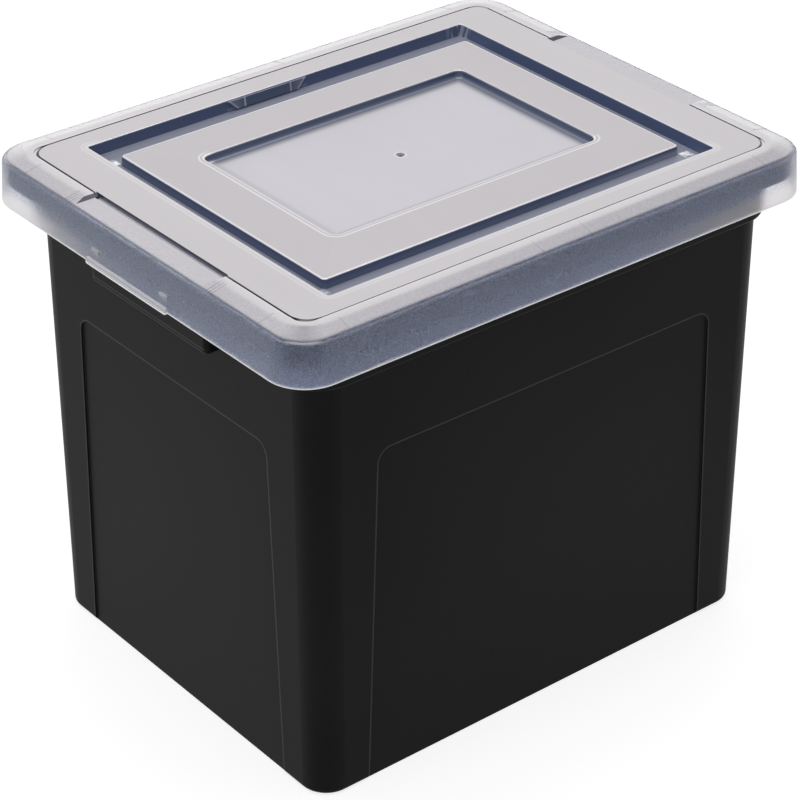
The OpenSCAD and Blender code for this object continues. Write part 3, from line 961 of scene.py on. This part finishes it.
@dataclass(frozen=True)
class SkirtTrim(LidMark):
    """What catches the light on the skirt: tabs, catch nubs, its foot and its front crease."""

    # The skirt's outer face: where it is at its top, and how far it leans out over its height.
    top_z: float = 302.0
    top_x: float = 183.1
    height: float = 23.6
    lean: float = 1.55
    proud: Span = (0.1, 0.35)
    tab_half: Span = (62.0, 60.0)
    # The catch nubs: from which height they dim what is proud, and the blur round each.
    nubs_from: Span = (283.0, 285.0)
    nub_dim: float = 0.3
    nub_off: float = -2.25
    nub_half: float = 32.0
    nub_z: float = 287.4
    blur: Span = (5.2, 1.0)
    blur_face: Span = (-1.0, 0.0)
    blur_share: float = 0.55
    # The foot's edge, and the crease past the flange at the front corner.
    foot_z: Span = (279.6, 279.2)
    foot_out: Span = (2.0, 3.0)
    crease_line: Line = Line(1.5, 2.1, 0.5, 0.7)
    crease_corner: Span = (0.84, 0.98)
    crease_z: Span = (300.0, 302.0)

    def raised(self, at: Surface) -> Wire:
        """Returns a mask of the pull tabs and the catch nubs.

        Args:
            at: The surface's places.

        Returns:
            1 on the tabs, and less on the nubs and on the blur round them.
        """
        face = (self.top_z - at.z) * (self.lean / self.height) + self.top_x
        proud = (abs(at.x) - face).step(*self.proud) * abs(at.y).step(*self.tab_half)
        proud = proud * (1.0 - at.z.step(*self.nubs_from) * self.nub_dim)
        along = abs(at.y - at.x.sign() * self.nub_off) - self.nub_half
        blur = along.hypot(at.z - self.nub_z).step(*self.blur)
        blur = blur * (abs(at.x) - self.top_x).step(*self.blur_face)
        return proud.either(blur * self.blur_share)

    def foot(self, at: Surface) -> Wire:
        """Returns a mask of the skirt's lower edge."""
        return at.z.step(*self.foot_z) * at.beyond(self.steps.flange).step(*self.foot_out)

    def crease(self, at: Surface) -> Wire:
        """Returns a mask of the light crease round the front corner.

        Args:
            at: The surface's places.

        Returns:
            A number from 0 to the line's strength.
        """
        flange = self.steps.flange
        crease = self.crease_line.mask(at.beyond(flange)) * at.z.step(*self.crease_z)
        return crease * at.fronting(flange).step(*self.crease_corner)


@dataclass(frozen=True)
class SkirtPlastic(LidMark):
    """The skirt's rough clear plastic with its blue haze, paler at the skirt's two far ends."""

    haze: Colour = (0.49, 0.57, 0.79)
    pale_haze: Colour = (0.88, 0.85, 0.90)
    clear: Colour = (0.97, 0.955, 0.965)
    see_through: float = 0.72
    roughness: float = 0.38
    haze_roughness: float = 0.36
    refraction: float = 1.2
    gloss: float = 0.35
    # Painted light where the white backdrop shows through: X minus Y, on either side of zero, from where
    # the skirt is pale below, and pale all the way up.
    pale_foot: Span = (170.0, 300.0)
    pale_foot_z: Span = (291.0, 285.0)
    pale_end: Span = (291.0, 336.0)
    pale_end_share: float = 0.8
    # The front corner and the short side at -X, painted darker as shade, which lets less light through.
    nose: Span = (0.82, 1.0)
    nose_dark: float = 0.30
    short_turn: Span = (-0.5, -0.9)
    short_dark: float = 0.18
    # The haze's specks, and its brightness: at the top, by the specks, and towards the foot.
    speck_size: float = 0.7
    speck_share: Span = (0.30, 0.70)
    speck_gain: float = 1.45
    top_tone: float = 0.12
    foot_z: Span = (297.0, 281.0)
    foot_tone: float = 0.22
    nose_foot_tone: float = 0.6
    nose_haze_dark: float = 0.10
    pale_tone: float = 0.88
    pale_speck: float = 0.16

    def shader(self, at: Surface, grain: Wire, fine: Wire) -> bpy.types.NodeSocket:
        """Makes the shader.

        Args:
            at: The surface's places.
            grain: The bump.
            fine: The noise behind the bump.

        Returns:
            The shader.
        """
        ends = abs(at.x - at.y)
        # Painted light at the skirt's two far ends.
        pale = ends.step(*self.pale_foot) * at.z.step(*self.pale_foot_z)
        pale = pale.either(ends.step(*self.pale_end) * self.pale_end_share)
        nose = at.fronting(self.steps.flange).step(*self.nose)
        speck = at.noise(size=self.speck_size, detail=0.0).step(*self.speck_share)
        # Towards the foot the haze grows paler; at the front corner it is painted darker as shade.
        low = at.z.step(*self.foot_z) * (nose * self.nose_foot_tone + self.foot_tone)
        tone = (speck * self.speck_gain + self.top_tone + low) * (1.0 - nose * self.nose_haze_dark)
        pale_tone = speck * self.pale_speck + self.pale_tone
        hazy = at.graph.node(
            Kind.BSDF,
            inputs={
                "Base Color": pale.blend(tone.scale(self.haze), pale_tone.scale(self.pale_haze)),
                "Roughness": fine * 0.1 + self.haze_roughness,
                "Specular IOR Level": self.gloss,
                "Normal": grain,
            },
        )
        # Painted shade on the short side at -X and at the front corner.
        short = at.nx.step(*self.short_turn) * (1.0 - pale)
        clear = at.graph.node(
            Kind.BSDF,
            inputs={
                "Base Color": (1.0 - short * self.short_dark - nose * self.nose_dark).scale(self.clear),
                "Roughness": self.roughness,
                "IOR": self.refraction,
                "Transmission Weight": 1.0,
                "Specular IOR Level": self.gloss,
            },
        )
        return at.graph.node(
            Kind.MIX_SHADER, inputs={0: self.see_through, 1: hazy.outputs[0], 2: clear.outputs[0]}
        ).outputs[0]


@dataclass(frozen=True)
class FrostedLid(Finish):
    """Clear plastic, frosted on its level faces, polished on its inner walls, hazy on its skirt, with
    painted light and shade.
    """

    steps: LidSteps
    gloss: float = 0.35
    level_turn: Span = (0.5, 0.9)
    # The mould grain: its size in millimetres, and the depth of its bump in metres.
    grain_size: float = 1.3
    grain_depth: float = 0.0001
    grain_strength: float = 0.2
    # How much the level faces mirror the room: above the trough's floor, less on it, none outside.
    sheen: float = 0.30
    floor_share: float = 0.25
    above_floor: Span = (0.6, 2.0)
    sheen_end: Span = (4.0, 0.0)
    roughness: float = 0.16
    level_roughness: float = 0.12
    cloud_roughness: float = 0.05
    # Painted light: how brightly the glints, the skirt's foot and what stands out from the skirt glow,
    # though no lamp is there.
    glint_glow: float = 0.20
    foot_glow: float = 0.34
    raised_glow: float = 0.02
    glow_colour: Colour = (1.0, 0.99, 1.0)
    # Where the skirt begins: past the flange, and below this height.
    skirt_out: Span = (-1.4, 1.0)
    skirt_z: Span = (306.5, 304.5)
    trim_share: float = 0.75

    def frosted(self, at: Surface, grain: Wire, trim: SkirtTrim) -> bpy.types.NodeSocket:
        """Makes the shader of all faces that nothing shows through.

        Args:
            at: The surface's places.
            grain: The bump.
            trim: What catches the light on the skirt.

        Returns:
            The shader.
        """
        s = self.steps
        level = at.nz.step(*self.level_turn)
        glints = CornerGlints(s)
        # The level faces' frosted colours over the walls' painted shade, then the painted lines, glints
        # and marks.
        colour = level.blend(UprightFaces(s).colour(at), LevelFaces(s).colour(at))
        for mark in (StepLines(s), glints, TroughPads(s), LatchFlaps(s), GateMark(s)):
            colour = mark.draw(at, colour)
        raised = trim.raised(at)
        foot = trim.foot(at)
        # Painted light on the tabs and nubs, and painted highlights on the skirt's foot and front crease.
        colour = raised.blend(colour, trim.shared_tones.lip)
        colour = foot.either(trim.crease(at)).blend(colour, trim.shared_tones.light)
        floor_sheen = self.sheen * self.floor_share
        sheen = (at.z - s.trough_z).step(*self.above_floor) * (self.sheen - floor_sheen) + floor_sheen
        cloud = at.noise(size=40.0, detail=3.0, rough=0.55)
        glow = glints.mask(at) * self.glint_glow + foot * self.foot_glow + raised * self.raised_glow
        return at.graph.node(
            Kind.BSDF,
            inputs={
                "Base Color": colour,
                "Metallic": level * sheen * at.beyond(s.deck).step(*self.sheen_end),
                "Roughness": level * self.level_roughness + self.roughness + cloud * self.cloud_roughness,
                "Specular IOR Level": self.gloss,
                "Emission Color": glow.scale(self.glow_colour),
                "Emission Strength": 1.0,
                "Normal": grain,
            },
        ).outputs[0]

    def build(self) -> bpy.types.Material:
        """Makes the material.

        Returns:
            The material.
        """
        material, graph, at = self.start()
        trim = SkirtTrim(self.steps)
        fine = at.noise(size=self.grain_size, detail=1.0)
        grain = graph.wire(
            Kind.BUMP,
            inputs={"Strength": self.grain_strength, "Distance": self.grain_depth, "Height": fine},
        )
        frosted = self.frosted(at, grain, trim)
        hazy = SkirtPlastic(self.steps).shader(at, grain, fine)
        caught = trim.raised(at).either(trim.foot(at)).either(trim.crease(at))
        on_skirt = at.beyond(self.steps.flange).step(*self.skirt_out) * at.z.step(*self.skirt_z)
        on_skirt = on_skirt * (1.0 - caught * self.trim_share)
        whole = graph.node(Kind.MIX_SHADER, inputs={0: on_skirt, 1: frosted, 2: hazy})
        graph.node(Kind.OUTPUT, inputs={"Surface": whole.outputs[0]})
        return material


@dataclass
class Tub:
    """The black tub: one moulding with grips, band, flange, panels and folder rails."""

    node: str = "tub"
    half_length: float = 162.1
    half_width: float = 130.35
    # How far a panel's side stays from the wall's end at the base and at the panel's top.
    panel_foot: float = 34.6
    panel_top: float = 41.7
    grip_foot: float = 258.7

    def dress(self, nodes: dict[str, bpy.types.Object]) -> bpy.types.Object:
        """Gives the tub its finish.

        Args:
            nodes: The frame's CAD nodes by name.

        Returns:
            The dressed node.
        """
        piece = nodes[self.node]
        finish = BlackMoulding(
            name="satin_black_moulding",
            short_wall=Panel(self.half_width - self.panel_foot, self.half_width - self.panel_top),
            long_wall=Panel(self.half_length - self.panel_foot, self.half_length - self.panel_top),
            wall_x=self.half_length,
            wall_y=self.half_width,
            grip_foot=self.grip_foot,
        )
        piece.material_slots[0].material = finish.build()
        return piece


@dataclass
class Lid:
    """The lid: one thin moulding with its trough, plateau, recess and two latch flaps."""

    node: str = "lid"
    steps: LidSteps = field(default_factory=LidSteps)

    def dress(self, nodes: dict[str, bpy.types.Object]) -> bpy.types.Object:
        """Gives the lid its finish.

        Args:
            nodes: The frame's CAD nodes by name.

        Returns:
            The dressed node.
        """
        piece = nodes[self.node]
        finish = FrostedLid(name="frosted_clear_moulding", steps=self.steps)
        piece.material_slots[0].material = finish.build()
        return piece


@dataclass
class Lamp:
    """One square area lamp aimed at a point."""

    name: str
    place: tuple[float, float, float]
    target: tuple[float, float, float]
    size: float
    watts: float

    def build(self) -> bpy.types.Object:
        """Makes the lamp and links it to the scene.

        Returns:
            The lamp.
        """
        data = bpy.data.lights.new(self.name, "AREA")
        data.shape = "SQUARE"
        data.size = self.size
        data.energy = self.watts
        lamp = bpy.data.objects.new(self.name, data)
        bpy.context.scene.collection.objects.link(lamp)
        lamp.location = self.place
        aim = Vector(self.target) - Vector(self.place)
        lamp.rotation_euler = aim.to_track_quat("-Z", "Y").to_euler()
        return lamp


@dataclass
class Studio:
    """The camera at the photograph's place, the pale floor, the lamps and the world."""

    camera_place: tuple[float, float, float] = (-0.9129, -1.1356, 1.0169)
    camera_way: tuple[float, float, float] = (0.53955, 0.66819, -0.51226)
    lens: float = 128.83
    sensor: float = 36.0
    shift: Span = (-0.00764, -0.01366)
    # The floor lies a little under the base, and from the second of these distances it is white.
    floor_reach: float = 4.0
    floor_drop: float = 0.0002
    floor_fade: Span = (1.2, 3.0)
    floor_corners: int = 96
    floor_paint: Colour = (0.42, 0.42, 0.42)
    floor_glow: Colour = (0.80, 0.80, 0.80)
    white: Colour = (1.0, 1.0, 1.0)
    fill: float = 0.25
    lamps: tuple[Lamp, ...] = (
        Lamp("overhead", (0.1, 0.3, 2.4), (0.0, 0.0, 0.3), 2.2, 35.0),
        Lamp("left_window", (-2.3, -0.4, 1.3), (0.0, 0.0, 0.2), 1.4, 6.0),
    )

    def build_camera(self) -> bpy.types.Object:
        """Makes the camera and makes it the scene's.

        Returns:
            The camera.
        """
        data = bpy.data.cameras.new("photo_camera")
        data.sensor_width = self.sensor
        data.lens = self.lens
        data.shift_x, data.shift_y = self.shift
        data.clip_end = 50.0
        camera = bpy.data.objects.new("photo_camera", data)
        bpy.context.scene.collection.objects.link(camera)
        camera.location = self.camera_place
        camera.rotation_euler = Vector(self.camera_way).to_track_quat("-Z", "Y").to_euler()
        bpy.context.scene.camera = camera
        return camera

    def seen(self, graph: Graph) -> Wire:
        """Tells rays that show a thing from rays that light one.

        Args:
            graph: The floor's or the world's graph.

        Returns:
            1 for a ray from the camera, a mirror or a see-through face, and 0 for the others.
        """
        names = ("Is Camera Ray", "Is Glossy Ray", "Is Transmission Ray")
        camera, mirror, through = (graph.wire(Kind.LIGHT_PATH, name) for name in names)
        return camera.either(mirror).either(through)

    def brightness(self, seen: Wire) -> Wire:
        """Returns the world's strength: white to a ray that shows it, and the fill to the others."""
        return self.fill + seen * (1.0 - self.fill)

    def build_floor(self) -> bpy.types.Object:
        """Makes the pale floor, a broad disc that fades into the white world.

        Returns:
            The floor.
        """
        bpy.ops.object.select_all(action="DESELECT")
        bpy.ops.mesh.primitive_circle_add(
            vertices=self.floor_corners,
            radius=self.floor_reach,
            fill_type="NGON",
            location=(0.0, 0.0, -self.floor_drop),
        )
        floor = bpy.context.object
        floor.name = "studio_floor"
        material = bpy.data.materials.new("pale_floor")
        material.use_nodes = True
        graph = Graph(material.node_tree)
        at = Surface(graph)
        seen = self.seen(graph)
        paint = graph.node(Kind.DIFFUSE, inputs={"Color": self.floor_paint})
        glow = graph.node(Kind.EMISSION, inputs={"Color": self.floor_glow, "Strength": seen})
        near = graph.node(Kind.ADD_SHADER, inputs={0: paint.outputs[0], 1: glow.outputs[0]})
        far = graph.node(Kind.EMISSION, inputs={"Color": self.white, "Strength": self.brightness(seen)})
        fade = at.x.hypot(at.y).step(self.floor_fade[0] * MM, self.floor_fade[1] * MM)
        whole = graph.node(Kind.MIX_SHADER, inputs={0: fade, 1: near.outputs[0], 2: far.outputs[0]})
        graph.node(Kind.OUTPUT, inputs={"Surface": whole.outputs[0]})
        floor.data.materials.append(material)
        return floor

    def build_world(self) -> None:
        """Makes the world: an even fill, seen as white."""
        world = bpy.data.worlds.new("studio_world")
        bpy.context.scene.world = world
        world.use_nodes = True
        graph = Graph(world.node_tree)
        strength = self.brightness(self.seen(graph))
        light = graph.node(Kind.BACKGROUND, inputs={"Color": self.white, "Strength": strength})
        graph.node(Kind.WORLD_OUTPUT, inputs={"Surface": light.outputs[0]})

    def build(self) -> None:
        """Makes the whole studio."""
        bpy.context.scene.view_settings.view_transform = "Standard"
        self.build_world()
        self.build_camera()
        self.build_floor()
        for lamp in self.lamps:
            lamp.build()
            LOG.info("lamp %s", lamp.name)


def main() -> None:
    """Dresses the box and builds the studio."""
    logging.basicConfig(level=logging.INFO, format="%(name)s: %(message)s")
    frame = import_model()
    for part in (Tub(), Lid()):
        piece = part.dress(frame["nodes"])
        LOG.info("%s: %d faces", piece.name, len(piece.data.polygons))
    Studio().build()
    bpy.context.view_layer.update()


if __name__ == "__main__":
    main()
